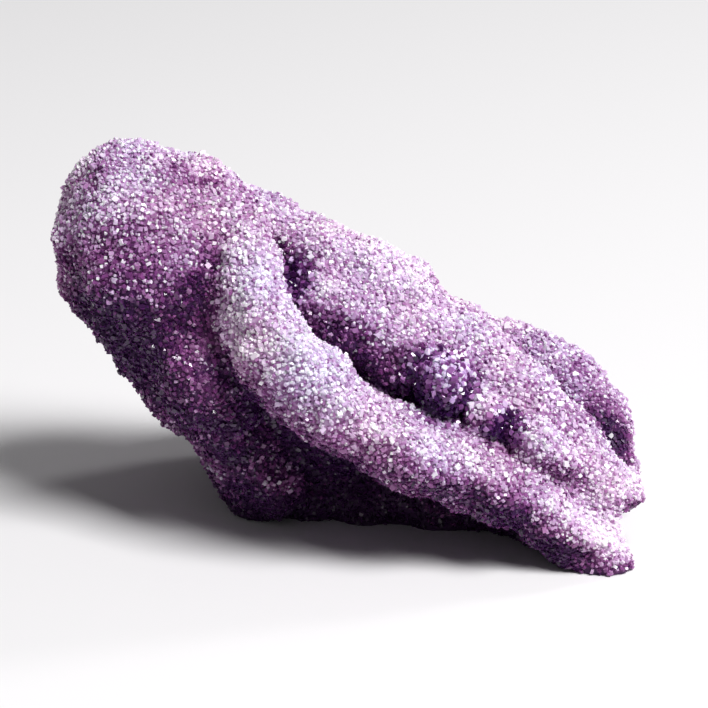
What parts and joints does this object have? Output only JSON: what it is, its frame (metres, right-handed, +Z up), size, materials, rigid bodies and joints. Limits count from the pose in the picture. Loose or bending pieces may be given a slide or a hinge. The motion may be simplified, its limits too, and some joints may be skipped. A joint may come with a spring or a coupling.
{
  "type": "candied violet",
  "caption": "A whole candied violet flower: crumpled petals folded together round a slit and set hard in a crust of violet sugar, resting on its belly.",
  "frame": {"origin": "on the surface it rests on, under the middle of the flower's bounding box", "axes": "+X along the flower from the round knob of folded petals to the narrow tip, -Y towards the long lip and the slit behind it, +Z up from the surface it rests on"},
  "size_m": [0.0236, 0.0166, 0.0154],
  "materials": {
    "violet_sugar": "rough frosted sugar crust, whitish lilac on what stands out and deep aubergine in the folds"
  },
  "bodies": {
    "root": {"candied_violet": "violet_sugar"}
  },
  "joints": []
}
